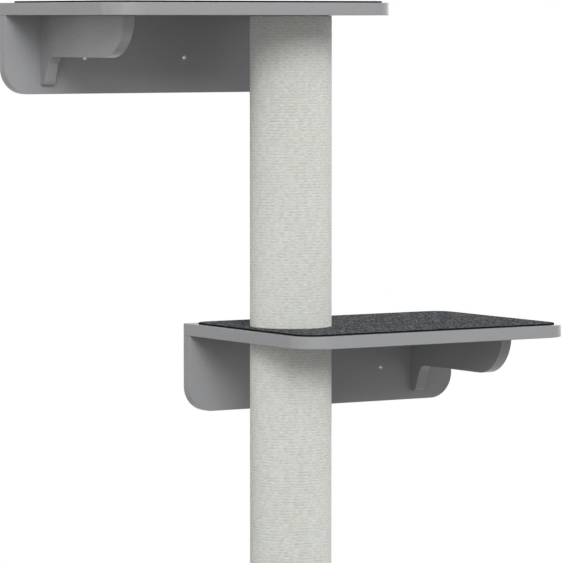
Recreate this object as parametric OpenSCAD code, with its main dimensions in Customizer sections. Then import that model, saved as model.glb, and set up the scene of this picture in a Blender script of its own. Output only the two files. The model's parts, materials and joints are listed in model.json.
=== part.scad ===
// Wall mounted cat tree: three shelves step left and right up a sisal post.
// X runs along the wall, Y points into the wall (the wall is the plane Y = 0), Z is up.
// The origin lies on the wall, midway between the two wall screw holes of the middle shelf.

/* [Levels] */
// Height from one shelf to the next
level_pitch = 397; // [330:1:520]

/* [Boards] */
// Thickness of every board
board_t = 15; // [15:0.5:20]
// Length of a shelf along the wall
shelf_l = 396; // [380:1:560]
// Depth of a shelf out from the wall
shelf_w = 280; // [250:1:360]
// Radius of the two front corners of a shelf
shelf_corner_r = 40; // [10:1:90]
// Height of a back board, below its shelf
back_h = 95; // [88:1:160]
// Radius of the two lower corners of a back board
back_corner_r = 32; // [5:1:40]

/* [Side brackets] */
// Distance from the shelf's far end to the bracket
bracket_inset = 48; // [20:1:60]
// Reach of the arm out from the back board
bracket_l = 200; // [170:1:215]
// Height of the arm
arm_h = 50; // [50:1:60]
// Radius of the arm's nose
nose_r = 50; // [10:1:50]
// Height of the bracket at its heel
heel_h = 84; // [80:1:88]
// Width of the heel where it leaves the arm
heel_root_w = 21; // [18:0.5:30]
// Width of the heel at its lower end
heel_tip_w = 9.5; // [8:0.5:16]
// Radius of the crook between arm and heel
crook_r = 15; // [4:0.5:18]
// Radius of the toe at the heel's lower end
toe_r = 7; // [2:0.5:8]

/* [Wall screw holes] */
// Bore of a wall screw hole
wall_hole_d = 5; // [4:0.5:8]
// Distance between the two holes of a back board
wall_hole_spacing = 141; // [100:1:180]
// Distance from the shelf's far end to the first hole
wall_hole_inset = 110; // [104:1:125]
// Distance from the shelf's underside down to the holes
wall_hole_drop = 52; // [45:1:60]

/* [Mats] */
// Thickness of the felt
mat_t = 2; // [1:0.5:6]
// Bare rim of board around a mat that lies in the middle
mat_rim = 9; // [5:0.5:25]
// Distance that every mat lies to the left of its shelf's middle
mat_shift = 3; // [0:0.5:4]
// Radius of the mat's corners
mat_corner_r = 24; // [5:1:60]

/* [Post] */
// Diameter of the post over its sisal
post_d = 100; // [90:1:120]
// Distance from the shelf's near end to the post's axis
post_inset = 69; // [62:1:90]
// Thickness of the sisal wrap
wrap_t = 3.5; // [2:0.5:6]
// Width of the butt seam in the wrap
seam_w = 0.6; // [0.3:0.1:2]
// Length that the wrap is cut short of the post at each end
wrap_trim = 0.3; // [0.2:0.1:2]
// Wall of the paperboard core tube
core_wall = 4; // [3:0.5:6]
// Thickness of the plugs in the core tubes
plug_t = 20; // [18:1:40]

/* [Post hardware] */
// Diameter of the bolts and of the stud
bolt_d = 8; // [6:1:8]
// Hole in a shelf for a bolt or the stud
bolt_hole_d = 9; // [8.5:0.5:11]
// Length of a bolt or the stud inside an insert
bolt_bite = 13; // [10:0.5:14]
// Diameter of the countersunk head
flat_head_d = 16; // [14:0.5:18]
// Width across the flats of the hexagon head
hex_flats = 13; // [13:0.5:17]
// Height of the hexagon head
hex_h = 5.3; // [4:0.1:8]
// Hexagon recess in the countersunk head, across its flats
key_flats = 5; // [3:0.5:6]
// Depth of that recess
key_depth = 3; // [2:0.5:4]
// Diameter of the washer
washer_d = 24; // [20:1:30]
// Thickness of the washer
washer_t = 2; // [1:0.1:3]
// Outer diameter of a threaded insert
insert_d = 12; // [11:0.5:16]
// Length of a threaded insert
insert_l = 15; // [14.5:0.5:17]

/* [Cam joints] */
// Diameter of a cam lock
cam_d = 15; // [14:0.5:18]
// Length of a cam lock, which stops short of the board's front
cam_l = 12; // [10:0.5:12.5]
// Distance from the back board's top edge down to a cam lock's axis
cam_drop = 24; // [22:0.5:30]
// Distance from a shelf's end to a cam lock's axis
cam_inset = 25; // [15:1:30]
// Diameter of a cam bolt's head and collar
cam_head_d = 7; // [6:0.1:7.5]
// Length of a cam bolt's head
cam_head_l = 3; // [2:0.1:4]
// Diameter of a cam bolt's neck
cam_neck_d = 4.4; // [3.5:0.1:5]
// Length of a cam bolt's thread in the shelf
cam_thread_l = 11; // [8:0.5:11.5]
// Diameter of a cam bolt's thread at its root
cam_thread_d = 5; // [4:0.1:6]
// Width and depth of the driver slots in a cam lock's face
driver_slot_w = 1.4; // [0.8:0.1:2]

/* [Dowels] */
// Diameter of a dowel
dowel_d = 8; // [6:0.5:8]
// Length of a dowel
dowel_l = 30; // [25:1:40]
// Length of a dowel inside the shelf
dowel_bite = 10; // [8:0.5:12]
// Distance from a shelf's end to a dowel
dowel_inset = 89; // [84:1:95]

/* [Bracket screws] */
// Head diameter of a bracket screw
screw_head_d = 8; // [7:0.5:9]
// Shank diameter of a bracket screw
screw_d = 4; // [3.5:0.5:4.5]
// Root diameter of a bracket screw's thread
screw_root_d = 2.8; // [2.4:0.1:3]
// Length of a bracket screw
screw_l = 40; // [35:1:45]
// Driver recess in a bracket screw's head
screw_key_d = 2.4; // [2:0.1:3]
// Depth of that recess
screw_key_depth = 1.5; // [1:0.1:2]
// Distance from the back board to the first screw in the arm's top
arm_screw_offset = 45; // [42:1:60]
// Distance between the two screws in the arm's top
arm_screw_spacing = 95; // [60:1:100]
// Distance from the shelf's underside to the upper screw in the bracket's back
heel_screw_drop = 12; // [10:1:15]
// Distance between the two screws in the bracket's back
heel_screw_spacing = 26; // [20:1:30]

/* [Fits] */
// Clearance all round a fastener or a dowel
fit = 0.1; // [0.05:0.05:0.2]
// Clearance between a plug and its core tube
plug_fit = 0.1; // [0.05:0.05:0.3]
// Spare depth beyond the end of a fastener or a dowel
end_room = 0.4; // [0.2:0.1:0.8]

/* [Hidden] */
$fn = 96;
// Overrun that carries every cut past a face
over = 1;

// Colours as they are seen
board_colour = [0.61, 0.61, 0.62];
mat_colour = [0.33, 0.34, 0.35];
sisal_colour = [0.80, 0.80, 0.78];
paper_colour = [0.62, 0.52, 0.40];
wood_colour = [0.80, 0.66, 0.47];
steel_colour = [0.72, 0.73, 0.75];
zinc_colour = [0.62, 0.63, 0.65];

// A shelf is drawn with the post's axis at X = 0, its near end just past the post, its far end
// towards +X, its back on the wall and its underside at zero height. at_level mirrors the top
// and bottom ones and carries all three to their places.
x_near = -post_inset;
x_far = shelf_l - post_inset;
x_bracket = x_far - bracket_inset - board_t / 2;
wall_hole_xs = [x_far - wall_hole_inset, x_far - wall_hole_inset - wall_hole_spacing];
back_mid_y = -board_t / 2;
underside_z = wall_hole_drop;
post_x = -(wall_hole_xs[0] + wall_hole_xs[1]) / 2;
post_y = -shelf_w / 2;

// Post
core_d = post_d - 2 * wrap_t;
core_bore = core_d - 2 * core_wall;
section_l = level_pitch - board_t - mat_t;
insert_bore = bolt_d + 2 * fit;

// Countersinks are cones of 90 degrees
flat_head_h = (flat_head_d - bolt_d) / 2;
screw_head_h = (screw_head_d - screw_d) / 2;

// Side bracket: lean of the heel, and the tangent lengths of its crook and toe
heel_lean = atan((heel_root_w - heel_tip_w) / (heel_h - arm_h));
heel_dir = [-sin(heel_lean), -cos(heel_lean)];
heel_root = [heel_root_w, -arm_h];
heel_tip = [heel_tip_w, -heel_h];
half_turn = (90 + heel_lean) / 2;
crook_tangent = crook_r / tan(half_turn);
toe_tangent = toe_r / tan(half_turn);
crook_centre = heel_root + [crook_tangent, -crook_r];
toe_centre = heel_tip + [-toe_tangent, toe_r];

// Places of the paired fasteners along a shelf
cam_xs = [x_near + cam_inset, x_far - cam_inset];
dowel_xs = [x_near + dowel_inset, x_far - dowel_inset];
arm_screw_ys = [-board_t - arm_screw_offset, -board_t - arm_screw_offset - arm_screw_spacing];
heel_screw_zs = [-heel_screw_drop, -heel_screw_drop - heel_screw_spacing];

// Carries a shelf's piece to its level: step 1 is the top, 0 the middle, -1 the bottom
module at_level(step) {
    translate([post_x, 0, underside_z + step * level_pitch])
        mirror([step == 0 ? 0 : 1, 0, 0])
            children();
}

// Carries a post's piece to the shelf that the section stands on
module at_section(step) {
    translate([post_x, post_y, underside_z + step * level_pitch + board_t + mat_t])
        children();
}

// Rectangle from the origin whose two corners at zero height are round
module board_outline(l, w, r) {
    union() {
        translate([0, r])
            square([l, w - r]);
        translate([r, 0])
            square([l - 2 * r, w]);
        for (x = [r, l - r])
            translate([x, r])
                circle(r);
    }
}

// Rectangle from the origin with four round corners
module mat_outline(l, w, r) {
    union() {
        translate([0, r])
            square([l, w - 2 * r]);
        translate([r, 0])
            square([l - 2 * r, w]);
        for (x = [r, l - r], y = [r, w - r])
            translate([x, y])
                circle(r);
    }
}

// Side of the bracket: X is its reach from the back board, Y its height below the shelf.
// The polygon cuts the nose and the toe off straight, and circles round them. At the crook it
// turns in to the centre of the circle that is then taken away. The frame trims the rest.
module bracket_outline() {
    intersection() {
        translate([0, -heel_h])
            square([bracket_l, heel_h]);
        union() {
            difference() {
                polygon([
                    [0, over],
                    [0, -heel_h],
                    heel_tip - [toe_tangent, 0],
                    heel_tip - toe_tangent * heel_dir,
                    heel_root + crook_tangent * heel_dir,
                    crook_centre,
                    heel_root + [crook_tangent, 0],
                    [bracket_l - nose_r, -arm_h],
                    [bracket_l, nose_r - arm_h],
                    [bracket_l, over]
                ]);
                translate(crook_centre)
                    circle(crook_r);
            }
            translate([bracket_l - nose_r, nose_r - arm_h])
                circle(nose_r);
            translate(toe_centre)
                circle(toe_r);
        }
    }
}

// Screw or bolt with a countersunk head whose top is at zero height, pointing down.
// Its bore is the same shape, grown by the clearance and run out past the face.
module flat_head(head_d, shank_d, grow) {
    translate([0, 0, -(head_d - shank_d) / 2])
        cylinder(h = (head_d - shank_d) / 2, d1 = shank_d + 2 * grow, d2 = head_d + 2 * grow);
}

module bracket_screw() {
    difference() {
        union() {
            flat_head(screw_head_d, screw_d, 0);
            translate([0, 0, -board_t])
                cylinder(h = board_t - screw_head_h, d = screw_d);
            translate([0, 0, -screw_l])
                cylinder(h = screw_l - board_t, d = screw_root_d);
        }
        translate([0, 0, -screw_key_depth])
            cylinder(h = screw_key_depth + over, d = screw_key_d);
    }
}

// Hole for a bracket screw through the board that its head is in
module screw_hole() {
    flat_head(screw_head_d, screw_d, fit);
    translate([0, 0, -board_t - over])
        cylinder(h = board_t + over, d = screw_d + 2 * fit);
    cylinder(h = over, d = screw_head_d + 2 * fit);
}

// Pilot hole for its thread in the bracket
module screw_pilot() {
    translate([0, 0, -screw_l - end_room])
        cylinder(h = screw_l + end_room, d = screw_root_d + 2 * fit);
}

// Places of the bracket screws, each frame's origin at the middle of a head
module at_arm_screws() {
    for (y = arm_screw_ys)
        translate([x_bracket, y, board_t])
            children();
}

module at_heel_screws() {
    for (z = heel_screw_zs)
        translate([x_bracket, 0, z])
            rotate([-90, 0, 0])
                children();
}

// Places of the cam locks, each frame's origin on the back board's top edge
module at_cams() {
    for (x = cam_xs)
        translate([x, back_mid_y, 0])
            children();
}

// Places of the dowels, each frame's origin on the back board's top edge
module at_dowels() {
    for (x = dowel_xs)
        translate([x, back_mid_y, 0])
            children();
}

// Cam lock, its driver face flush with the back board's wall side. The bolt's head drops in
// through a wide port at one side, and a quarter turn brings the narrow track round its neck.
module cam_lock() {
    port_d = cam_head_d + 4 * fit;
    track_w = cam_neck_d + 4 * fit;
    translate([0, 0, -cam_drop])
        difference() {
            translate([0, -back_mid_y, 0])
                rotate([90, 0, 0])
                    cylinder(h = cam_l, d = cam_d);
            // Chamber for the head, and the port that lets it in
            translate([0, 0, -cam_head_l / 2 - fit])
                cylinder(h = cam_head_l + 2 * fit, d = port_d);
            rotate([0, 90, 0])
                cylinder(h = cam_d, d = port_d);
            // Track that closes round the neck
            rotate([90, 0, 0])
                translate([0, 0, -track_w / 2])
                    rotate_extrude(angle = 90)
                        translate([cam_head_d / 4, 0])
                            square([cam_d, track_w]);
            cylinder(h = cam_d, d = track_w);
            // Driver slots, crossed
            for (turn = [0, 90])
                rotate([0, turn, 0])
                    translate([-cam_d / 4, -back_mid_y - driver_slot_w, -driver_slot_w / 2])
                        cube([cam_d / 2, driver_slot_w + over, driver_slot_w]);
        }
}

// Cam bolt, its thread up in the shelf and its head down in the cam lock
module cam_bolt() {
    neck_top = -cam_drop + cam_d / 2;
    union() {
        cylinder(h = cam_thread_l, d = cam_thread_d);
        translate([0, 0, neck_top])
            cylinder(h = -neck_top, d = cam_head_d);
        translate([0, 0, -cam_drop])
            cylinder(h = cam_d / 2, d = cam_neck_d);
        translate([0, 0, -cam_drop - cam_head_l / 2])
            cylinder(h = cam_head_l, d = cam_head_d);
    }
}

module shelf_board(post_bolt_head) {
    color(board_colour)
        difference() {
            translate([x_near, -shelf_w, 0])
                linear_extrude(board_t)
                    board_outline(shelf_l, shelf_w, shelf_corner_r);
            translate([0, post_y, -over])
                cylinder(h = board_t + 2 * over, d = bolt_hole_d);
            if (post_bolt_head)
                translate([0, post_y, board_t]) {
                    flat_head(flat_head_d, bolt_d, fit);
                    cylinder(h = over, d = flat_head_d + 2 * fit);
                }
            at_arm_screws()
                screw_hole();
            at_cams()
                translate([0, 0, -over])
                    cylinder(h = cam_thread_l + end_room + over, d = cam_thread_d + 2 * fit);
            at_dowels()
                translate([0, 0, -over])
                    cylinder(h = dowel_bite + end_room + over, d = dowel_d + 2 * fit);
        }
}

module back_board() {
    color(board_colour)
        difference() {
            translate([x_near, 0, -back_h])
                rotate([90, 0, 0])
                    linear_extrude(board_t)
                        board_outline(shelf_l, back_h, back_corner_r);
            for (x = wall_hole_xs)
                translate([x, over, -wall_hole_drop])
                    rotate([90, 0, 0])
                        cylinder(h = board_t + 2 * over, d = wall_hole_d);
            at_heel_screws()
                screw_hole();
            at_cams() {
                translate([0, -back_mid_y + over, -cam_drop])
                    rotate([90, 0, 0])
                        cylinder(h = cam_l + end_room + over, d = cam_d + 2 * fit);
                translate([0, 0, -cam_drop])
                    cylinder(h = cam_drop + over, d = cam_head_d + 2 * fit);
            }
            at_dowels()
                translate([0, 0, dowel_bite - dowel_l - end_room])
                    cylinder(h = dowel_l + end_room + over, d = dowel_d + 2 * fit);
        }
}

module side_bracket() {
    color(board_colour)
        difference() {
            translate([x_bracket + board_t / 2, -board_t, 0])
                rotate([90, 0, -90])
                    linear_extrude(board_t)
                        bracket_outline();
            at_arm_screws()
                screw_pilot();
            at_heel_screws()
                screw_pilot();
        }
}

// The shift is towards +X, so it is negative where +X points to the right
module mat(under_post, shift) {
    color(mat_colour)
        difference() {
            translate([x_near + mat_rim + shift, -shelf_w + mat_rim, board_t])
                linear_extrude(mat_t)
                    mat_outline(shelf_l - 2 * mat_rim, shelf_w - 2 * mat_rim, mat_corner_r);
            if (under_post)
                translate([0, post_y, board_t - over])
                    cylinder(h = mat_t + 2 * over, d = bolt_hole_d);
        }
}

module cam_locks() {
    color(zinc_colour)
        at_cams()
            cam_lock();
}

module cam_bolts() {
    color(steel_colour)
        at_cams()
            cam_bolt();
}

module dowels() {
    color(wood_colour)
        at_dowels()
            translate([0, 0, dowel_bite - dowel_l])
                cylinder(h = dowel_l, d = dowel_d);
}

module bracket_screws() {
    color(steel_colour) {
        at_arm_screws()
            bracket_screw();
        at_heel_screws()
            bracket_screw();
    }
}

module core_tube() {
    color(paper_colour)
        difference() {
            cylinder(h = section_l, d = core_d);
            translate([0, 0, -over])
                cylinder(h = section_l + 2 * over, d = core_bore);
        }
}

// Sleeve of woven sisal, its two edges meeting at the side that faces the wall
module sisal_wrap() {
    color(sisal_colour)
        translate([0, 0, wrap_trim])
            difference() {
                cylinder(h = section_l - 2 * wrap_trim, d = post_d);
                translate([0, 0, -over])
                    cylinder(h = section_l + 2 * over, d = core_d);
                translate([-seam_w / 2, 0, -over])
                    cube([seam_w, post_d, section_l + 2 * over]);
            }
}

// Puts its children at both ends of a section, turned so that +Z leads into the post
module at_section_ends() {
    children();
    translate([0, 0, section_l])
        mirror([0, 0, 1])
            children();
}

module post_plugs() {
    color(wood_colour)
        at_section_ends()
            difference() {
                cylinder(h = plug_t, d = core_bore - 2 * plug_fit);
                translate([0, 0, -over])
                    cylinder(h = plug_t + 2 * over, d = insert_d + 2 * fit);
            }
}

module post_insert() {
    difference() {
        cylinder(h = insert_l, d = insert_d);
        translate([0, 0, -over])
            cylinder(h = insert_l + 2 * over, d = insert_bore);
    }
}

module top_shelf_board() at_level(1) shelf_board(true);
module top_back_board() at_level(1) back_board();
module top_side_bracket() at_level(1) side_bracket();
module top_mat() at_level(1) mat(false, mat_shift);
module top_cam_locks() at_level(1) cam_locks();
module top_cam_bolts() at_level(1) cam_bolts();
module top_dowels() at_level(1) dowels();
module top_bracket_screws() at_level(1) bracket_screws();

module middle_shelf_board() at_level(0) shelf_board(false);
module middle_back_board() at_level(0) back_board();
module middle_side_bracket() at_level(0) side_bracket();
module middle_mat() at_level(0) mat(true, -mat_shift);
module middle_cam_locks() at_level(0) cam_locks();
module middle_cam_bolts() at_level(0) cam_bolts();
module middle_dowels() at_level(0) dowels();
module middle_bracket_screws() at_level(0) bracket_screws();

module bottom_shelf_board() at_level(-1) shelf_board(false);
module bottom_back_board() at_level(-1) back_board();
module bottom_side_bracket() at_level(-1) side_bracket();
module bottom_mat() at_level(-1) mat(true, mat_shift);
module bottom_cam_locks() at_level(-1) cam_locks();
module bottom_cam_bolts() at_level(-1) cam_bolts();
module bottom_dowels() at_level(-1) dowels();
module bottom_bracket_screws() at_level(-1) bracket_screws();

module upper_core_tube() at_section(0) core_tube();
module upper_sisal_wrap() at_section(0) sisal_wrap();
module upper_post_plugs() at_section(0) post_plugs();
module lower_core_tube() at_section(-1) core_tube();
module lower_sisal_wrap() at_section(-1) sisal_wrap();
module lower_post_plugs() at_section(-1) post_plugs();

module post_inserts() {
    color(zinc_colour)
        for (step = [0, -1])
            at_section(step)
                at_section_ends()
                    post_insert();
}

// Bolt down through the top shelf, its head flush under the mat
module top_post_bolt() {
    color(steel_colour)
        translate([post_x, post_y, underside_z + level_pitch + board_t])
            difference() {
                union() {
                    flat_head(flat_head_d, bolt_d, 0);
                    translate([0, 0, -board_t - bolt_bite])
                        cylinder(h = board_t + bolt_bite - flat_head_h, d = bolt_d);
                }
                translate([0, 0, -key_depth])
                    cylinder(h = key_depth + over, d = key_flats / cos(30), $fn = 6);
            }
}

// Stud through the middle shelf and its mat, into the inserts of both sections
module middle_post_stud() {
    color(steel_colour)
        translate([post_x, post_y, underside_z - bolt_bite])
            cylinder(h = board_t + mat_t + 2 * bolt_bite, d = bolt_d);
}

// Bolt up through the bottom shelf, with its washer
module bottom_post_bolt() {
    color(steel_colour)
        translate([post_x, post_y, underside_z - level_pitch - washer_t])
            union() {
                translate([0, 0, -hex_h])
                    cylinder(h = hex_h, d = hex_flats / cos(30), $fn = 6);
                cylinder(h = washer_t + board_t + mat_t + bolt_bite, d = bolt_d);
            }
}

module bottom_post_washer() {
    color(steel_colour)
        translate([post_x, post_y, underside_z - level_pitch - washer_t])
            difference() {
                cylinder(h = washer_t, d = washer_d);
                translate([0, 0, -over])
                    cylinder(h = washer_t + 2 * over, d = bolt_d + 2 * fit);
            }
}

top_shelf_board();
top_back_board();
top_side_bracket();
top_mat();
top_cam_locks();
top_cam_bolts();
top_dowels();
top_bracket_screws();
middle_shelf_board();
middle_back_board();
middle_side_bracket();
middle_mat();
middle_cam_locks();
middle_cam_bolts();
middle_dowels();
middle_bracket_screws();
bottom_shelf_board();
bottom_back_board();
bottom_side_bracket();
bottom_mat();
bottom_cam_locks();
bottom_cam_bolts();
bottom_dowels();
bottom_bracket_screws();
upper_core_tube();
upper_sisal_wrap();
upper_post_plugs();
lower_core_tube();
lower_sisal_wrap();
lower_post_plugs();
post_inserts();
top_post_bolt();
middle_post_stud();
bottom_post_bolt();
bottom_post_washer();
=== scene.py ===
import json
import math
import bmesh
import bpy
from mathutils import Matrix, Vector, noise


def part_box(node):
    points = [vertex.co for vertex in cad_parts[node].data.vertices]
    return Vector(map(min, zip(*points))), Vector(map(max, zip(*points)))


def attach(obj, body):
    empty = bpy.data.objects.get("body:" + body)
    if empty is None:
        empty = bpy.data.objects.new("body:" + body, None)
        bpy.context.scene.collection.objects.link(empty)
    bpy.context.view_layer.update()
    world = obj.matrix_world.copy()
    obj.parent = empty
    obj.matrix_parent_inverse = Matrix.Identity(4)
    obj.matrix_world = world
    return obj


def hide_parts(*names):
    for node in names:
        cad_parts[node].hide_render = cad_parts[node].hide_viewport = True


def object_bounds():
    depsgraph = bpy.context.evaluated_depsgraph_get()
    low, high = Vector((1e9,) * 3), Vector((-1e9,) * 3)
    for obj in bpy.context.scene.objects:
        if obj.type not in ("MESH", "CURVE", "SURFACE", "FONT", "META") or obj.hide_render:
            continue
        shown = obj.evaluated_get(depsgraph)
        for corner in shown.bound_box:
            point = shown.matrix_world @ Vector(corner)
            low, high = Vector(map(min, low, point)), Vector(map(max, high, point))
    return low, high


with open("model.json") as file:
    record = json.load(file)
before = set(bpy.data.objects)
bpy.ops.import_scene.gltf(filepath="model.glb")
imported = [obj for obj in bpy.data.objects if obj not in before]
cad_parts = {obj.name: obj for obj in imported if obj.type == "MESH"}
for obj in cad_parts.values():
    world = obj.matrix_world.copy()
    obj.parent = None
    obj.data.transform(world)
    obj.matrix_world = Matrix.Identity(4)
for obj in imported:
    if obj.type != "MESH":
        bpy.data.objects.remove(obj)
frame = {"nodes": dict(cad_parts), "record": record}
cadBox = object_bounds()
nodes = frame["nodes"]
levels = ("top", "middle", "bottom")
millimetre = 0.001
print("frame loaded:", len(nodes), "pieces")


# Helpers for node trees. An input takes a plain value or another node's output.

def feed(tree, value, socket):
    if isinstance(value, bpy.types.NodeSocket):
        tree.links.new(value, socket)
    else:
        socket.default_value = value


def addNode(tree, kind, inputs=None, **settings):
    node = tree.nodes.new(kind)
    for name, value in settings.items():
        setattr(node, name, value)
    for name, value in (inputs or {}).items():
        feed(tree, value, node.inputs[name])
    return node


def reckon(tree, operation, *values):  # the result of a Math node
    node = tree.nodes.new("ShaderNodeMath")
    node.operation = operation
    for socket, value in zip(node.inputs, values):
        feed(tree, value, socket)
    return node.outputs[0]


def spread(tree, value, span, newSpan):  # one range of values carried to another
    (low, high), (newLow, newHigh) = span, newSpan
    node = addNode(tree, "ShaderNodeMapRange", {
        "Value": value, "From Min": low, "From Max": high, "To Min": newLow, "To Max": newHigh})
    return node.outputs["Result"]


def blend(tree, share, first, second):  # one colour fading into another
    colourSockets = {0: share, 6: first, 7: second}  # a Mix node's names repeat for each kind of value
    return addNode(tree, "ShaderNodeMix", colourSockets, data_type="RGBA").outputs[2]


def newGroup(name, kind, inputs, outputs):  # a node tree with what it's given and what it makes
    tree = bpy.data.node_groups.new(name, kind)
    for direction, sockets in (("INPUT", inputs), ("OUTPUT", outputs)):
        for socketName, socketKind in sockets.items():
            tree.interface.new_socket(
                name=socketName, in_out=direction, socket_type="NodeSocket" + socketKind)
    return tree, tree.nodes.new("NodeGroupInput").outputs, tree.nodes.new("NodeGroupOutput").inputs


# Shader groups that several finishes share

def unevenToneGroup():  # a colour that drifts lighter and darker over the surface
    tree, given, made = newGroup(
        "unevenTone", "ShaderNodeTree",
        {"Place": "Vector", "Colour": "Color", "Patch Size": "Float", "Amount": "Float"}, {"Colour": "Color"})
    scale = reckon(tree, "DIVIDE", 1, given["Patch Size"])
    cloud = addNode(tree, "ShaderNodeTexNoise", {"Vector": given["Place"], "Scale": scale, "Detail": 3.0})
    # The noise swings half a unit each way about its middle, and the amount is for a full swing
    swing = reckon(tree, "SUBTRACT", cloud.outputs["Fac"], 0.5)
    factor = reckon(tree, "MULTIPLY_ADD", swing, reckon(tree, "MULTIPLY", given["Amount"], 2), 1)
    toned = addNode(tree, "ShaderNodeVectorMath", {0: given["Colour"], "Scale": factor}, operation="SCALE")
    feed(tree, toned.outputs[0], made["Colour"])
    return tree


def fineGrainGroup():  # heights of a fine grain over a softer, wider one
    tree, given, made = newGroup(
        "fineGrain", "ShaderNodeTree",
        {"Place": "Vector", "Grain Size": "Float", "Coarse Share": "Float"}, {"Height": "Float"})
    scale = reckon(tree, "DIVIDE", 1, given["Grain Size"])
    wideScale = reckon(tree, "MULTIPLY", scale, 0.2)  # the wide grain is five times as coarse
    fine = addNode(tree, "ShaderNodeTexNoise", {"Vector": given["Place"], "Scale": scale, "Detail": 2.0})
    wide = addNode(tree, "ShaderNodeTexNoise", {"Vector": given["Place"], "Scale": wideScale, "Detail": 1.0})
    mixed = addNode(tree, "ShaderNodeMix", {
        0: given["Coarse Share"], 2: fine.outputs["Fac"], 3: wide.outputs["Fac"]})
    feed(tree, mixed.outputs[0], made["Height"])
    return tree


unevenTone = unevenToneGroup()
fineGrain = fineGrainGroup()


def startFinish(name, shine):  # a material, and the parts of it that its recipe goes on with
    material = bpy.data.materials.new(name)
    material.use_nodes = True
    tree = material.node_tree
    shader = tree.nodes["Principled BSDF"]
    for socketName, value in shine.items():
        shader.inputs[socketName].default_value = value
    return material, tree, shader.inputs, addNode(tree, "ShaderNodeTexCoord").outputs["Object"]


def tone(tree, place, colour, patchSize, amount):
    group = addNode(tree, "ShaderNodeGroup", {
        "Place": place, "Colour": colour, "Patch Size": patchSize, "Amount": amount}, node_tree=unevenTone)
    return group.outputs["Colour"]


def grain(tree, place, look):
    group = addNode(tree, "ShaderNodeGroup", {
        "Place": place, "Grain Size": look["grainSize"], "Coarse Share": look["coarseShare"]},
        node_tree=fineGrain)
    return group.outputs["Height"]


def bumps(tree, height, depth):
    return addNode(tree, "ShaderNodeBump", {"Height": height, "Distance": depth}).outputs["Normal"]


# Finishes. Sizes and depths are in metres.

boardFoil = {
    "colour": (0.335, 0.337, 0.345, 1),
    "patchSize": 0.16, "patchAmount": 0.03,
    "speckSize": 0.0009, "speckAmount": 0.05,
    "roughness": (0.25, 0.33), "grainSpan": (0.3, 0.7),  # grain heights between which it changes
    "grainSize": 0.0007, "coarseShare": 0.35, "grainDepth": 0.00001,
    "shine": {"IOR": 1.46, "Specular IOR Level": 0.33},
}


def makeBoardFoil():
    look = boardFoil
    material, tree, shader, place = startFinish("boardFoil", look["shine"])
    patched = tone(tree, place, look["colour"], look["patchSize"], look["patchAmount"])
    feed(tree, tone(tree, place, patched, look["speckSize"], look["speckAmount"]), shader["Base Color"])
    height = grain(tree, place, look)
    feed(tree, spread(tree, height, look["grainSpan"], look["roughness"]), shader["Roughness"])
    feed(tree, bumps(tree, height, look["grainDepth"]), shader["Normal"])
    return material


boreLining = {  # the wall screw holes show bright
    "colour": (0.60, 0.60, 0.61, 1), "patchSize": 0.001, "patchAmount": 0.05,
    "grainSize": 0.0004, "coarseShare": 0.3, "grainDepth": 0.00001,
    "shine": {"Metallic": 1.0, "Roughness": 0.30},
}

sawnWood = {
    "colour": (0.62, 0.45, 0.27, 1), "dark": (0.44, 0.29, 0.15, 1),
    "ringScale": 31.25, "ringWarp": 1.5,  # rings about 10 mm apart
    "stretch": (1, 1, 0.08),              # the grain runs up the piece
    "grainSize": 0.0004, "coarseShare": 0.4, "grainDepth": 0.00006,
    "shine": {"Roughness": 0.62},
}

kraftPaper = {
    "colour": (0.46, 0.33, 0.20, 1), "patchSize": 0.004, "patchAmount": 0.12,
    "grainSize": 0.0006, "coarseShare": 0.5, "grainDepth": 0.00005,
    "shine": {"Roughness": 0.85},
}

dieCastZinc = {
    "colour": (0.50, 0.51, 0.53, 1), "patchSize": 0.003, "patchAmount": 0.14,
    "grainSize": 0.0003, "coarseShare": 0.5, "grainDepth": 0.00004,
    "shine": {"Metallic": 1.0, "Roughness": 0.42},
}

platedSteel = {
    "colour": (0.62, 0.63, 0.65, 1), "patchSize": 0.002, "patchAmount": 0.08,
    "grainSize": 0.0002, "coarseShare": 0.3, "grainDepth": 0.00001,
    "shine": {"Metallic": 1.0, "Roughness": 0.28},
}


def makePlainFinish(name, look):  # one colour that drifts, over a fine grain
    material, tree, shader, place = startFinish(name, look["shine"])
    toned = tone(tree, place, look["colour"], look["patchSize"], look["patchAmount"])
    feed(tree, toned, shader["Base Color"])
    feed(tree, bumps(tree, grain(tree, place, look), look["grainDepth"]), shader["Normal"])
    return material


def makeSawnWood():
    look = sawnWood
    material, tree, shader, place = startFinish("sawnWood", look["shine"])
    stretched = addNode(tree, "ShaderNodeMapping", {"Vector": place, "Scale": look["stretch"]}).outputs[0]
    rings = addNode(tree, "ShaderNodeTexWave", {
        "Vector": stretched, "Scale": look["ringScale"], "Distortion": look["ringWarp"], "Detail": 3.0},
        wave_type="RINGS")
    feed(tree, blend(tree, rings.outputs["Fac"], look["colour"], look["dark"]), shader["Base Color"])
    feed(tree, bumps(tree, grain(tree, stretched, look), look["grainDepth"]), shader["Normal"])
    return material


matFelt = {
    "fibres": (  # a noise value and the colour that it gets, from dark fibres to light ones
        (0.40, (0.010, 0.011, 0.013, 1)), (0.50, (0.048, 0.054, 0.060, 1)), (0.68, (0.40, 0.42, 0.44, 1))),
    "fleckSize": 0.0028, "fleckDetail": 3.0, "fleckRoughness": 0.7,
    "patchSize": 0.018, "patchAmount": 0.35,
    "grainSize": 0.0011, "coarseShare": 0.45, "grainDepth": 0.0006,
    "shine": {"Roughness": 0.95, "Sheen Weight": 0.04, "Sheen Roughness": 0.6, "Specular IOR Level": 0.0},
}


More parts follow.
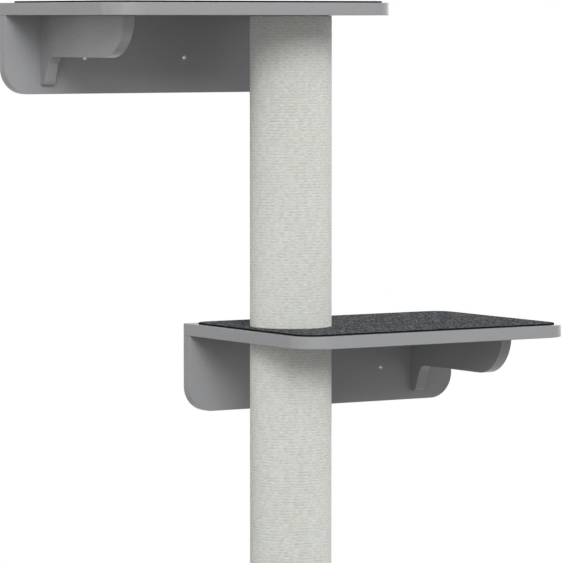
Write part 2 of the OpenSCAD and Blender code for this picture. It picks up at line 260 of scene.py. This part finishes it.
def makeMatFelt():
    look = matFelt
    material, tree, shader, place = startFinish("matFelt", look["shine"])
    flecks = addNode(tree, "ShaderNodeTexNoise", {
        "Vector": place, "Scale": 1 / look["fleckSize"], "Detail": look["fleckDetail"],
        "Roughness": look["fleckRoughness"]})
    ramp = addNode(tree, "ShaderNodeValToRGB", {"Fac": flecks.outputs["Fac"]})
    ramp.color_ramp.elements.new(look["fibres"][1][0])  # a new ramp has its two ends only
    for element, (value, colour) in zip(ramp.color_ramp.elements, look["fibres"]):
        element.position = value
        element.color = colour
    toned = tone(tree, place, ramp.outputs["Color"], look["patchSize"], look["patchAmount"])
    feed(tree, toned, shader["Base Color"])
    feed(tree, bumps(tree, grain(tree, place, look), look["grainDepth"]), shader["Normal"])
    return material


matEdge = {
    "colour": (0.012, 0.013, 0.014, 1), "patchSize": 0.002, "patchAmount": 0.3,
    "grainSize": 0.0005, "coarseShare": 0.4, "grainDepth": 0.0002,
    "shine": {"Roughness": 0.9, "Specular IOR Level": 0.0},
}

sisalYarn = {
    # the first colour is painted shade for the grooves between the yarns; the crest colour is the yarn's own
    "grooveShade": (0.528, 0.530, 0.496, 1), "crest": (0.706, 0.718, 0.682, 1),
    "warm": (0.70, 0.70, 0.652, 1), "warmSize": 0.03, "warmSpan": (0.35, 0.75),  # patches of warmer yarn
    "fibreLength": 0.005, "fibreWidth": 0.0003, "fibreAmount": 0.10, "fibreDepth": 0.00008,
    "dashLength": 0.006, "dashWidth": 0.0013, "dashAmount": 0.32,
    "leanSize": 0.03, "leanDepth": 0.006,  # patches in which the yarns run aslant
    "shine": {"Roughness": 0.9, "Diffuse Roughness": 0.6, "Sheen Weight": 0.12, "Sheen Roughness": 0.5,
              "Specular IOR Level": 0.25},
}


def makeSisalYarn():
    look = sisalYarn
    material, tree, shader, place = startFinish("sisalYarn", look["shine"])
    cloth = addNode(tree, "ShaderNodeUVMap", uv_map="weaveMap").outputs["UV"]
    height = addNode(tree, "ShaderNodeAttribute", attribute_name="yarnHeight").outputs["Fac"]
    lean = addNode(tree, "ShaderNodeTexNoise", {
        "Vector": cloth, "Scale": 1 / look["leanSize"], "Detail": 1.0})
    lift = reckon(tree, "MULTIPLY", lean.outputs["Fac"], look["leanDepth"])
    upward = addNode(tree, "ShaderNodeCombineXYZ", {"Y": lift}).outputs[0]
    leaning = addNode(tree, "ShaderNodeVectorMath", {0: cloth, 1: upward}, operation="ADD").outputs[0]

    def along(name):  # the cloth's map counted in lengths and widths of a fibre or a dash
        scale = (1 / look[name + "Length"], 1 / look[name + "Width"], 1)
        return addNode(tree, "ShaderNodeMapping", {"Vector": leaning, "Scale": scale}).outputs[0]

    fibreMap, dashMap = along("fibre"), along("dash")
    fibres = addNode(tree, "ShaderNodeTexNoise", {"Vector": fibreMap, "Scale": 1.0, "Detail": 2.0})
    clouds = addNode(tree, "ShaderNodeTexNoise", {
        "Vector": place, "Scale": 1 / look["warmSize"], "Detail": 4.0})
    warmth = spread(tree, clouds.outputs["Fac"], look["warmSpan"], (0, 1))
    yarn = blend(tree, warmth, look["crest"], look["warm"])
    # painted shade: the colour darkens towards the grooves between the yarns, following each yarn's height
    shaded = blend(tree, height, look["grooveShade"], yarn)
    dashed = tone(tree, dashMap, shaded, 1.0, look["dashAmount"])
    feed(tree, tone(tree, fibreMap, dashed, 1.0, look["fibreAmount"]), shader["Base Color"])
    feed(tree, bumps(tree, fibres.outputs["Fac"], look["fibreDepth"]), shader["Normal"])
    return material


finishes = {
    "board": makeBoardFoil(),
    "bore": makePlainFinish("boreLining", boreLining),
    "wood": makeSawnWood(),
    "paper": makePlainFinish("kraftPaper", kraftPaper),
    "zinc": makePlainFinish("dieCastZinc", dieCastZinc),
    "steel": makePlainFinish("platedSteel", platedSteel),
    "felt": makeMatFelt(),
    "feltEdge": makePlainFinish("matEdge", matEdge),
    "sisal": makeSisalYarn(),
}
print("finishes made:", len(finishes))


# Helpers for pieces

def meshFrom(work, name):
    mesh = bpy.data.meshes.new(name)
    work.to_mesh(mesh)
    work.free()
    return mesh


def addPiece(name, mesh, *materials):
    for material in materials:
        mesh.materials.append(material)
    piece = bpy.data.objects.new(name, mesh)
    bpy.context.scene.collection.objects.link(piece)
    return piece


def settle(piece):  # the modifiers' result becomes a plain mesh
    bpy.context.view_layer.update()
    depsgraph = bpy.context.evaluated_depsgraph_get()
    mesh = bpy.data.meshes.new_from_object(
        piece.evaluated_get(depsgraph), preserve_all_data_layers=True, depsgraph=depsgraph)
    piece.modifiers.clear()
    piece.data = mesh


def placePiece(piece, node):  # the piece stands for the node from here on
    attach(piece, "root")
    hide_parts(node)


def pieceName(node):
    first, *others = node.split("_")
    return first + "".join(word.capitalize() for word in others)


# Boards: a merged copy of each board with its edges eased and its faces shaded flat

boardEdges = {
    "mergeWithin": 0.00001,
    "flatWithin": math.radians(0.4),
    "easedFrom": math.radians(40),   # outer edges sharper than this are eased
    "creaseFrom": math.radians(35),  # and what is still sharper than this shows as a crease
    "easeWidth": 0.0008,
    "easeSteps": 3,
    "flatPull": 90,          # how strongly a flat face sets the shading at its rim
    "holeShare": 0.25,       # rounding of a hole's rim, as a share of the board's
    "holeRimLength": 0.075,  # a rim shorter than this is a hole's
    "boreReach": 0.0001,     # slack round a bore's radius
    "boreTilt": 0.5,         # the most that a bore's wall may face along the bore
    "squareOn": 0.9999,      # the least that an outer face has to face along its axis
}


def wallHoles():  # middle and radius of each wall screw hole
    holes = []
    for mount in frame["record"]["mounts"]:
        if mount["name"].startswith("wall_screws"):
            half = mount["dims"]["spacing_x_mm"] * millimetre / 2
            for side in (-half, half):
                middle = Vector(mount["pos_m"]) + Vector((side, 0, 0))
                holes.append((middle, mount["dims"]["hole_r_mm"] * millimetre))
    return holes


def onOuterFace(face, low, high):  # whether the face lies on one of the board's six sides
    for axis in range(3):
        if abs(face.normal[axis]) > boardEdges["squareOn"]:
            place = face.verts[0].co[axis]
            return min(abs(place - low[axis]), abs(place - high[axis])) < boardEdges["mergeWithin"]
    return False


def crispRim(start, crisp):  # the chain of crisp edges that start belongs to, and its length
    chain, waiting = {start}, [start]
    while waiting:
        edge = waiting.pop()
        for vertex in edge.verts:
            for other in vertex.link_edges:
                if other in crisp and other not in chain:
                    chain.add(other)
                    waiting.append(other)
    return chain, sum(edge.calc_length() for edge in chain)


def flatPatches(work):  # faces that lie in one plane and touch each other
    left, patches = set(work.faces), []
    for first in work.faces:
        if first not in left:
            continue
        left.discard(first)
        patch, waiting = [first], [first]
        while waiting:
            for edge in waiting.pop().edges:
                for face in edge.link_faces:
                    if face in left and face.normal.angle(first.normal) < boardEdges["flatWithin"]:
                        left.discard(face)
                        patch.append(face)
                        waiting.append(face)
        patches.append(patch)
    return patches


def refillFlats(mesh):  # easing leaves slivers in a flat face round its holes, so it is filled anew
    work = bmesh.new()
    work.from_mesh(mesh)
    work.normal_update()
    for patch in flatPatches(work):
        if len(patch) == 1 and len(patch[0].verts) <= 4:  # a lone triangle or quad stays
            continue
        members, normal = set(patch), patch[0].normal.copy()
        rim = [edge for face in patch for edge in face.edges
               if sum(other in members for other in edge.link_faces) == 1]
        bmesh.ops.delete(work, geom=patch, context="FACES_KEEP_BOUNDARY")
        filled = bmesh.ops.triangle_fill(work, use_beauty=True, edges=rim, normal=normal)
        for face in filled["geom"]:
            if isinstance(face, bmesh.types.BMFace):
                face.smooth = True
    bmesh.ops.recalc_face_normals(work, faces=work.faces)
    for edge in work.edges:
        edge.smooth = edge.calc_face_angle(math.pi) < boardEdges["creaseFrom"]
    work.to_mesh(mesh)
    work.free()


def finishFaces(work):  # all shade smooth, and the bores for the wall screws get the second finish
    holes = wallHoles()
    for face in work.faces:
        middle = face.calc_center_median()
        face.smooth = True
        face.material_index = 0
        for hole, radius in holes:
            inside = math.hypot(middle.x - hole.x, middle.z - hole.z) < radius + boardEdges["boreReach"]
            if inside and abs(face.normal.y) < boardEdges["boreTilt"]:
                face.material_index = 1


def weighEdges(work, low, high):  # how far each outer edge is eased
    weight = work.edges.layers.float.new("bevel_weight_edge")
    work.normal_update()
    crisp = {edge for edge in work.edges
             if len(edge.link_faces) == 2 and edge.calc_face_angle() > boardEdges["easedFrom"]
             and any(onOuterFace(face, low, high) for face in edge.link_faces)}
    left = set(crisp)
    while left:
        chain, length = crispRim(next(iter(left)), crisp)
        for edge in chain:
            edge[weight] = boardEdges["holeShare"] if length < boardEdges["holeRimLength"] else 1.0
        left -= chain


def easeBoard(node):
    work = bmesh.new()
    work.from_mesh(nodes[node].data)
    bmesh.ops.remove_doubles(work, verts=work.verts, dist=boardEdges["mergeWithin"])
    bmesh.ops.dissolve_limit(work, angle_limit=boardEdges["flatWithin"], verts=work.verts, edges=work.edges)
    weighEdges(work, *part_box(node))
    finishFaces(work)
    piece = addPiece(pieceName(node), meshFrom(work, pieceName(node)), finishes["board"], finishes["bore"])
    ease = piece.modifiers.new("ease", "BEVEL")
    ease.limit_method = "WEIGHT"
    ease.width = boardEdges["easeWidth"]
    ease.segments = boardEdges["easeSteps"]
    ease.use_clamp_overlap = False
    ease.loop_slide = False
    settle(piece)
    refillFlats(piece.data)
    shade = piece.modifiers.new("shade", "WEIGHTED_NORMAL")
    shade.keep_sharp = True
    shade.weight = boardEdges["flatPull"]
    settle(piece)
    placePiece(piece, node)


for level in levels:
    for part in ("shelf_board", "back_board", "side_bracket"):
        easeBoard(level + "_" + part)
print("boards eased")


# Mats: felt with a slightly uneven top and a dark cut edge

feltMat = {
    "cornerRadius": 0.024,
    "cornerSteps": 9,
    "step": 0.0026,          # spacing of the mesh over the top
    "edgeRound": 0.0007,
    "edgeBand": 0.0011,      # width of the dark band along the top's edge
    "darkRows": 5,           # rows of faces, from the underside, that show the cut edge
    "unevenness": 0.00014,
    "unevenSize": 0.006,
    "ripple": (2.3, 0.6),    # how much finer and weaker the swell's second part is
    "studHole": 0.0045,      # radius of the hole under the post
    "studHoleSteps": 32,
    "mergeWithin": 0.000001,
}


def matRing(middle, halfLength, halfWidth, inset, steps):  # points round the mat, drawn in by the inset
    radius = feltMat["cornerRadius"] * (1 - inset / halfWidth)
    x, y = halfLength - inset - radius, halfWidth - inset - radius
    ring = []
    corners = ((x, y), (-x, y), (-x, -y), (x, -y))
    for corner, (cornerX, cornerY) in enumerate(corners):
        for step in range(feltMat["cornerSteps"] + 1):
            turn = (corner + step / feltMat["cornerSteps"]) * math.pi / 2
            ring.append((cornerX + radius * math.cos(turn), cornerY + radius * math.sin(turn)))
        start, (nextX, nextY) = ring[-1], corners[(corner + 1) % 4]
        turn = (corner + 1) * math.pi / 2
        end = (nextX + radius * math.cos(turn), nextY + radius * math.sin(turn))
        count = steps[corner % 2]
        for step in range(1, count):
            share = step / count
            ring.append((start[0] + (end[0] - start[0]) * share, start[1] + (end[1] - start[1]) * share))
    return [(middle.x + px, middle.y + py) for px, py in ring]


def matProfile(low, high, halfWidth):  # inset and height of each ring, from the underside to the middle
    edge = feltMat["edgeRound"]
    midway = edge * 0.3  # how far in and down the middle of a quarter round lies
    profile = [(edge / 2, low), (0, low + edge / 2), (0, high - edge), (midway, high - midway)]
    profile += [(edge, high), (feltMat["edgeBand"], high)]
    inset = feltMat["edgeBand"] + feltMat["step"] / 2
    while inset < halfWidth - feltMat["step"] / 2:
        profile.append((inset, high))
        inset += feltMat["step"]
    return profile + [(halfWidth, high)]


def feltSwell(x, y, number):  # how far the felt stands proud there, each mat in its own way
    finer, weaker = feltMat["ripple"]
    spot = Vector((x, y, number)) / feltMat["unevenSize"]
    return feltMat["unevenness"] * (noise.noise(spot) + noise.noise(spot * finer) * weaker)


def cutStudHole(piece, low, high):  # the post's stud or bolt goes through the mat
    postLow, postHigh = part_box("lower_sisal_wrap")
    middle = (postLow + postHigh) / 2
    work = bmesh.new()
    bmesh.ops.create_cone(  # a cutter that stands well out of both faces
        work, cap_ends=True, segments=feltMat["studHoleSteps"], depth=4 * (high.z - low.z),
        radius1=feltMat["studHole"], radius2=feltMat["studHole"],
        matrix=Matrix.Translation((middle.x, middle.y, (low.z + high.z) / 2)))
    for face in work.faces:
        face.material_index = 1
    cutter = addPiece("studHole", meshFrom(work, "studHole"), finishes["felt"], finishes["feltEdge"])
    cut = piece.modifiers.new("cut", "BOOLEAN")
    cut.object = cutter
    settle(piece)
    bpy.data.objects.remove(cutter)


def layMat(level, number):
    node = level + "_mat"
    low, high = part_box(node)
    middle, halfLength, halfWidth = (low + high) / 2, (high.x - low.x) / 2, (high.y - low.y) / 2
    flat = (2 * halfLength, 2 * halfWidth)
    steps = [round((size - 2 * feltMat["cornerRadius"]) / feltMat["step"]) for size in flat]
    work = bmesh.new()
    rings = []
    for inset, height in matProfile(low.z, high.z, halfWidth):
        ring = []
        for x, y in matRing(middle, halfLength, halfWidth, inset, steps):
            swell = feltSwell(x, y, number) if inset > feltMat["edgeBand"] else 0
            ring.append(work.verts.new((x, y, height + swell)))
        rings.append(ring)
    work.faces.new(reversed(rings[0])).material_index = 1
    count = len(rings[0])
    for row, (ring, upper) in enumerate(zip(rings, rings[1:])):
        for at in range(count):
            after = (at + 1) % count
            face = work.faces.new((ring[at], ring[after], upper[after], upper[at]))
            face.material_index = 1 if row < feltMat["darkRows"] else 0
            face.smooth = True
    bmesh.ops.remove_doubles(work, verts=work.verts, dist=feltMat["mergeWithin"])
    piece = addPiece(pieceName(node), meshFrom(work, pieceName(node)), finishes["felt"], finishes["feltEdge"])
    if level != "top":
        cutStudHole(piece, low, high)
    placePiece(piece, node)


for number, level in enumerate(levels):
    layMat(level, number)
print("mats laid")


# Sisal: a woven sleeve round each post section, its yarns lying round the post

sisalWeave = {
    "around": 200,             # faces round the post
    "perYarn": 4,              # faces across one yarn
    "yarnPitch": 0.00365,
    "relief": 0.0004,          # from a groove to a yarn's crest
    "crown": 0.7,              # below 1 the crests are broad and the grooves narrow
    "dashLength": 0.006,       # usual length over which a groove stays open
    "dashShare": 0.9,          # how far a groove closes between two such lengths
    "dashSpan": (0.35, 0.62),  # noise values between which it closes
    "yarnStride": 7.31,        # step in the noise from yarn to yarn, so that neighbours differ
    "wander": 0.6,             # sway of a yarn, in yarns
    "swaySize": 0.018,
    "endRound": 0.0012,        # length of the rounding at a cut end
    "endDrop": 0.5,            # how far the end sinks, as a share of that length
    "seamGap": 0.0006,
    "seedStep": 3.7,           # sets the two sections' patterns apart
}


def weaveTree():
    tree, given, made = newGroup(
        "sisalWeave", "GeometryNodeTree",
        {"Around": "Int", "Up": "Int", "Radius": "Float", "Length": "Float", "Base": "Float",
         "Yarns": "Float", "Relief": "Float", "Crown": "Float", "Dash Length": "Float",
         "Dash Share": "Float", "Wander": "Float", "Sway Size": "Float", "Gap": "Float",
         "End Round": "Float", "Seed": "Float", "Axis": "Vector", "Sisal": "Material"},
        {"Geometry": "Geometry"})

    def do(operation, *values):
        return reckon(tree, operation, *values)

    def joined(x, y, z=0.0):
        return addNode(tree, "ShaderNodeCombineXYZ", {"X": x, "Y": y, "Z": z}).outputs[0]

    # A flat grid, one unit each way about its middle, is measured out as the cloth
    grid = addNode(tree, "GeometryNodeMeshGrid", {
        "Size X": 1.0, "Size Y": 1.0, "Vertices X": given["Around"], "Vertices Y": given["Up"]})
    position = addNode(tree, "GeometryNodeInputPosition").outputs[0]
    spot = addNode(tree, "ShaderNodeSeparateXYZ", {0: position}).outputs
    around, up = do("ADD", spot["X"], 0.5), do("ADD", spot["Y"], 0.5)
    girth = do("MULTIPLY", given["Radius"], 2 * math.pi)
    acrossCloth, upCloth = do("MULTIPLY", around, girth), do("MULTIPLY", up, given["Length"])

    # Each yarn sways a little as it goes round
    sway = addNode(tree, "ShaderNodeTexNoise", {
        "Vector": joined(acrossCloth, upCloth, given["Seed"]),
        "Scale": do("DIVIDE", 1, given["Sway Size"]), "Detail": 2.0}).outputs["Fac"]
    swayed = do("MULTIPLY", do("SUBTRACT", sway, 0.5), given["Wander"])
    yarns = do("MULTIPLY_ADD", up, given["Yarns"], swayed)
    yarn, across = do("FLOOR", yarns), do("FRACT", yarns)
    crown = do("POWER", do("ABSOLUTE", do("SINE", do("MULTIPLY", across, math.pi))), given["Crown"])

    # Each yarn rises and sinks by itself, so its groove shows as broken dashes of uneven length
    dashes = do("DIVIDE", acrossCloth, given["Dash Length"])
    ownRow = do("MULTIPLY", yarn, sisalWeave["yarnStride"])
    loose = addNode(tree, "ShaderNodeTexNoise", {
        "Vector": joined(dashes, ownRow, given["Seed"]), "Scale": 1.0, "Detail": 1.0}).outputs["Fac"]
    closed = do("MULTIPLY", spread(tree, loose, sisalWeave["dashSpan"], (0, 1)), given["Dash Share"])
    sunk = do("MULTIPLY", do("SUBTRACT", 1, crown), do("SUBTRACT", 1, closed))
    height = do("SUBTRACT", 1, sunk)

    # The cut ends are rounded over
    fromEnd = do("MINIMUM", upCloth, do("SUBTRACT", given["Length"], upCloth))
    rounding = do("SUBTRACT", 1, do("MINIMUM", do("DIVIDE", fromEnd, given["End Round"]), 1))
    dropped = do("MULTIPLY", do("POWER", rounding, 2),
                 do("MULTIPLY", given["End Round"], sisalWeave["endDrop"]))
    radius = do("SUBTRACT", given["Radius"], do("MULTIPLY", do("SUBTRACT", 1, height), given["Relief"]))
    radius = do("SUBTRACT", radius, dropped)

    # The cloth's two edges meet at the wall side
    gapTurn = do("DIVIDE", given["Gap"], given["Radius"])
    turn = do("MULTIPLY_ADD", around, do("SUBTRACT", 2 * math.pi, gapTurn),
              do("MULTIPLY_ADD", gapTurn, 0.5, math.pi / 2))
    wrapped = joined(do("MULTIPLY", radius, do("COSINE", turn)), do("MULTIPLY", radius, do("SINE", turn)),
                     do("ADD", upCloth, given["Base"]))
    moved = addNode(tree, "ShaderNodeVectorMath", {0: wrapped, 1: given["Axis"]}, operation="ADD").outputs[0]

    mapped = addNode(tree, "GeometryNodeStoreNamedAttribute", {
        "Geometry": grid.outputs["Mesh"], "Name": "weaveMap", "Value": joined(acrossCloth, upCloth)},
        data_type="FLOAT2", domain="CORNER").outputs[0]
    # the yarn's height is kept for the sisal finish, which paints shade into the grooves from it
    marked = addNode(tree, "GeometryNodeStoreNamedAttribute", {
        "Geometry": mapped, "Name": "yarnHeight", "Value": height},
        data_type="FLOAT", domain="POINT").outputs[0]
    bent = addNode(tree, "GeometryNodeSetPosition", {"Geometry": marked, "Position": moved}).outputs[0]
    smooth = addNode(tree, "GeometryNodeSetShadeSmooth", {"Geometry": bent}).outputs[0]
    real = addNode(tree, "GeometryNodeRealizeInstances", {"Geometry": smooth}).outputs[0]
    covered = addNode(tree, "GeometryNodeSetMaterial", {"Geometry": real, "Material": given["Sisal"]})
    feed(tree, covered.outputs[0], made["Geometry"])
    return tree


def addTree(piece, tree, values):  # a Geometry Nodes modifier; the values go by the inputs' names
    modifier = piece.modifiers.new(tree.name, "NODES")
    modifier.node_group = tree
    for item in tree.interface.items_tree:
        if item.in_out == "INPUT" and item.name in values:
            modifier[item.identifier] = values[item.name]


def closeSleeve(mesh, axis, innerRadius, across, up):  # rims, seam walls and an inner face close it
    work = bmesh.new()
    work.from_mesh(mesh)
    work.verts.ensure_lookup_table()
    # The grid's points run up the post, one line of them after another
    lines = [[work.verts[line * up + point] for point in range(up)] for line in range(across)]

    def drawnIn(vertex):
        away = Vector((vertex.co.x - axis.x, vertex.co.y - axis.y)).normalized() * innerRadius
        return work.verts.new((axis.x + away.x, axis.y + away.y, vertex.co.z))

    bottoms, tops = [drawnIn(points[0]) for points in lines], [drawnIn(points[-1]) for points in lines]
    for at in range(across - 1):
        work.faces.new((bottoms[at], bottoms[at + 1], lines[at + 1][0], lines[at][0]))
        work.faces.new((lines[at][-1], lines[at + 1][-1], tops[at + 1], tops[at]))
        work.faces.new((tops[at], tops[at + 1], bottoms[at + 1], bottoms[at]))
    work.faces.new([*lines[0], tops[0], bottoms[0]])
    work.faces.new([*reversed(lines[-1]), bottoms[-1], tops[-1]])
    bmesh.ops.recalc_face_normals(work, faces=work.faces)
    work.to_mesh(mesh)
    work.free()


def wrapSisal(section, number, tree):
    node = section + "_sisal_wrap"
    low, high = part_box(node)
    coreLow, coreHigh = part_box(section + "_core_tube")
    radius, innerRadius, length = (high.x - low.x) / 2, (coreHigh.x - coreLow.x) / 2, high.z - low.z
    axis = Vector(((low.x + high.x) / 2, (low.y + high.y) / 2, 0))
    yarns = round(length / sisalWeave["yarnPitch"])
    across, up = sisalWeave["around"] + 1, yarns * sisalWeave["perYarn"] + 1
    piece = addPiece(pieceName(node), bpy.data.meshes.new(pieceName(node)))
    addTree(piece, tree, {
        "Around": across, "Up": up, "Radius": radius, "Length": length, "Base": low.z,
        "Yarns": float(yarns), "Relief": sisalWeave["relief"], "Crown": sisalWeave["crown"],
        "Dash Length": sisalWeave["dashLength"], "Dash Share": sisalWeave["dashShare"],
        "Wander": sisalWeave["wander"], "Sway Size": sisalWeave["swaySize"],
        "Gap": sisalWeave["seamGap"], "End Round": sisalWeave["endRound"],
        "Seed": number * sisalWeave["seedStep"], "Axis": axis, "Sisal": finishes["sisal"]})
    settle(piece)
    closeSleeve(piece.data, axis, innerRadius, across, up)
    placePiece(piece, node)


weave = weaveTree()
for number, section in enumerate(("upper", "lower")):
    wrapSisal(section, number, weave)
print("sisal wrapped")


# Hardware and inner parts keep their shapes and get their finishes

innerFinish = {
    "cam_locks": "zinc", "cam_bolts": "steel", "dowels": "wood", "bracket_screws": "steel",
    "core_tube": "paper", "post_plugs": "wood", "post_inserts": "zinc",
    "post_bolt": "steel", "post_stud": "steel", "post_washer": "steel",
}
for name, node in nodes.items():
    for ending, finish in innerFinish.items():
        if name.endswith(ending):
            for materialSlot in node.material_slots:
                materialSlot.material = finishes[finish]
print("hardware finished")


# Camera: left of the shelves, a little above the middle one, on a long lens

cameraView = {
    "place": (-2.8038, -4.2910, 0.4407),
    "turn": math.radians(-32.494),
    "tilt": math.radians(90 - 3.673),
    "lens": 258.2,     # with the sensor, in millimetres
    "sensor": 36.0,
    "clip": (0.1, 200),
}


def addCamera():
    data = bpy.data.cameras.new("photoCamera")
    data.lens = cameraView["lens"]
    data.sensor_width = cameraView["sensor"]
    data.clip_start, data.clip_end = cameraView["clip"]
    camera = bpy.data.objects.new("photoCamera", data)
    camera.location = cameraView["place"]
    camera.rotation_euler = (cameraView["tilt"], 0, cameraView["turn"])
    bpy.context.scene.collection.objects.link(camera)
    bpy.context.scene.camera = camera


addCamera()


# Studio. A lamp's level is what it gives a surface that faces it, where 1 shows a colour as written.

studio = {
    "aim": (-0.1465, -0.14, 0.05),
    "distance": 10.0,
    "skyLevel": 0.385,
    "floorDrop": 0.20,       # floor below the lowest piece
    "floorSize": 400.0,
    "floorColour": (0.41, 0.41, 0.41, 1),
    "floorLift": 0.69,       # brings the lit floor to white for the camera
    "floorFade": (0.8, 2.4),  # distance from the object over which the floor turns plain white
}

lamps = {  # azimuth from the front towards +X, elevation, width and height in metres, level
    "highSoftbox": (-25, 35, 4.0, 4.0, 0.17),
    "mainSoftbox": (-22, 24, 4.0, 3.0, 0.41),
    "lowSoftbox": (-42, 14, 3.0, 6.0, 0.12),
    "sideSoftbox": (-120, 15, 3.0, 6.0, 0.10),
    "rightSoftbox": (80, 15, 3.0, 6.0, 0.08),
    "rimSoftbox": (118, 3, 9.3, 4.0, 0.22),
}


def addLamp(name, azimuth, elevation, width, height, level):
    data = bpy.data.lights.new(name, "AREA")
    data.shape = "RECTANGLE"
    data.size = width
    data.size_y = height
    data.energy = level * math.pi ** 2 * studio["distance"] ** 2
    lamp = bpy.data.objects.new(name, data)
    turn, rise = math.radians(azimuth), math.radians(elevation)
    outward = Vector((math.sin(turn) * math.cos(rise), -math.cos(turn) * math.cos(rise), math.sin(rise)))
    lamp.location = Vector(studio["aim"]) + outward * studio["distance"]
    lamp.rotation_mode = "QUATERNION"
    lamp.rotation_quaternion = outward.to_track_quat("Z", "Y")
    lamp.visible_camera = False
    bpy.context.scene.collection.objects.link(lamp)


def seenDirectly(tree):  # 1 for what the camera, a reflection or glass sees, 0 for light on the object
    path = addNode(tree, "ShaderNodeLightPath").outputs
    seen = reckon(tree, "MAXIMUM", path["Is Camera Ray"], path["Is Glossy Ray"])
    return reckon(tree, "MAXIMUM", seen, path["Is Transmission Ray"])


def addSky():
    world = bpy.data.worlds.new("studioSky")
    world.use_nodes = True
    tree = world.node_tree
    sky = tree.nodes["Background"].inputs
    sky["Color"].default_value = (1, 1, 1, 1)
    feed(tree, spread(tree, seenDirectly(tree), (0, 1), (studio["skyLevel"], 1)), sky["Strength"])
    bpy.context.scene.world = world


def makeFloorWhite():
    material = bpy.data.materials.new("studioFloor")
    material.use_nodes = True
    tree = material.node_tree
    tree.nodes.remove(tree.nodes["Principled BSDF"])
    seen = seenDirectly(tree)
    glow = reckon(tree, "MULTIPLY", seen, studio["floorLift"])
    matt = addNode(tree, "ShaderNodeBsdfDiffuse", {"Color": studio["floorColour"]}).outputs[0]
    lift = addNode(tree, "ShaderNodeEmission", {"Strength": glow}).outputs[0]
    lit = addNode(tree, "ShaderNodeAddShader", {0: matt, 1: lift}).outputs[0]
    # Further off the floor turns plain white and meets the background without a line
    place = addNode(tree, "ShaderNodeTexCoord").outputs["Object"]
    away = addNode(tree, "ShaderNodeVectorMath", {0: place, 1: studio["aim"]}, operation="DISTANCE")
    far = spread(tree, away.outputs["Value"], studio["floorFade"], (0, 1))
    fade = reckon(tree, "MULTIPLY", far, seen)
    white = addNode(tree, "ShaderNodeEmission", {"Strength": 1.0}).outputs[0]
    faded = addNode(tree, "ShaderNodeMixShader", {0: fade, 1: lit, 2: white}).outputs[0]
    # From below the floor is clear, so that the undersides can be looked at
    clear = addNode(tree, "ShaderNodeBsdfTransparent").outputs[0]
    below = addNode(tree, "ShaderNodeNewGeometry").outputs["Backfacing"]
    both = addNode(tree, "ShaderNodeMixShader", {0: below, 1: faded, 2: clear}).outputs[0]
    feed(tree, both, tree.nodes["Material Output"].inputs["Surface"])
    return material


def addFloor():
    height, half = cadBox[0].z - studio["floorDrop"], studio["floorSize"] / 2
    corners = [(x * half, y * half, height) for x, y in ((-1, -1), (1, -1), (1, 1), (-1, 1))]
    mesh = bpy.data.meshes.new("studioFloor")
    mesh.from_pydata(corners, [], [(0, 1, 2, 3)])
    floor = addPiece("studioFloor", mesh, makeFloorWhite())


addSky()
addFloor()
for lampName, lamp in lamps.items():
    addLamp(lampName, *lamp)
bpy.context.scene.view_settings.view_transform = "Standard"
print("studio set")
